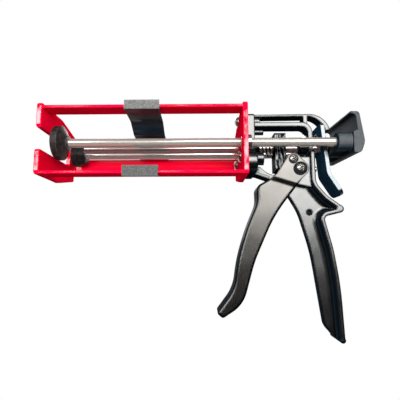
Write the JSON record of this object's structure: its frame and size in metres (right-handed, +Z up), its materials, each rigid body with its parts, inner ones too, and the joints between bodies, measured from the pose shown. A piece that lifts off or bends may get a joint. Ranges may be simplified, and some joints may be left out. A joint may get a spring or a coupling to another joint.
{
  "type": "two-component caulking gun",
  "caption": "Hand-held caulking gun for side-by-side cartridges: flat-bar carriage, push rods with pistons, cast grip, friction-drive trigger, release lever and pull yoke.",
  "frame": {"origin": "middle of the hand grip, where the palm holds it, on the plane through the middle rod", "axes": "+X along the rods to the rear, +Z up from the grip to the rods, +Y to the side of the smaller piston"},
  "size_m": [0.2899, 0.085, 0.2122],
  "materials": {
    "red_powder_coat": "gloss powder coat",
    "black_plastic": "fine-grained satin",
    "black_casting": "black paint on die-cast aluminium",
    "bright_steel": "bright zinc plate",
    "tool_steel": "oil-blackened steel",
    "spring_wire": "drawn spring wire",
    "chromed_rod": "polished",
    "black_rubber": "matt"
  },
  "bodies": {
    "frame": {"front_plate": "red_powder_coat", "rear_plate": "red_powder_coat", "upper_rail": "red_powder_coat", "lower_rail": "red_powder_coat", "far_rail": "red_powder_coat", "upper_cradle": "black_plastic", "lower_cradle": "black_plastic", "body_casting": "black_casting", "flange_screws": "bright_steel", "rod_guides": "tool_steel", "spring_seat": "tool_steel", "pivot_screw": "bright_steel", "pivot_washers": "bright_steel", "pivot_nut": "bright_steel", "brake_stud": "bright_steel", "brake_nut": "bright_steel", "lever_stop": "bright_steel", "return_spring": "spring_wire", "brake_spring": "spring_wire"},
    "trigger": {"trigger": "black_casting", "drive_screw": "bright_steel", "drive_sleeve": "tool_steel", "drive_nut": "bright_steel"},
    "drive": {"drive_plate_1": "tool_steel", "drive_plate_2": "tool_steel", "drive_plate_3": "tool_steel"},
    "plunger": {"large_rod": "chromed_rod", "drive_rod": "chromed_rod", "small_rod": "chromed_rod", "large_piston": "black_rubber", "small_piston": "black_rubber", "piston_screws": "bright_steel", "yoke_handle": "black_plastic", "yoke_screws": "bright_steel"},
    "release": {"release_lever": "bright_steel"}
  },
  "joints": [
    {"name": "trigger_pull", "type": "hinge", "parent": "frame", "child": "trigger", "pos_m": [-0.0163, 0, 0.0875], "axis": [0, -1, 0], "range_deg": [0, 28], "stiffness_Nm_per_rad": 0.6, "springref_deg": -22.92},
    {"name": "drive_stroke", "type": "slide", "parent": "frame", "child": "drive", "axis": [-1, 0, 0], "range_m": [0, 0.0041], "deforming": ["return_spring"]},
    {"name": "plunger_travel", "type": "slide", "parent": "frame", "child": "plunger", "axis": [1, 0, 0], "range_m": [0, 0.145]},
    {"name": "release_press", "type": "hinge", "parent": "frame", "child": "release", "pos_m": [0.0059, 0, 0.1316], "axis": [0, 1, 0], "range_deg": [0, 5], "stiffness_Nm_per_rad": 1.5, "springref_deg": -5.73, "deforming": ["brake_spring"]}
  ],
  "couplings": [
    {"joint": "drive_stroke", "follows": "trigger_pull", "m_per_rad": 0.0083}
  ]
}
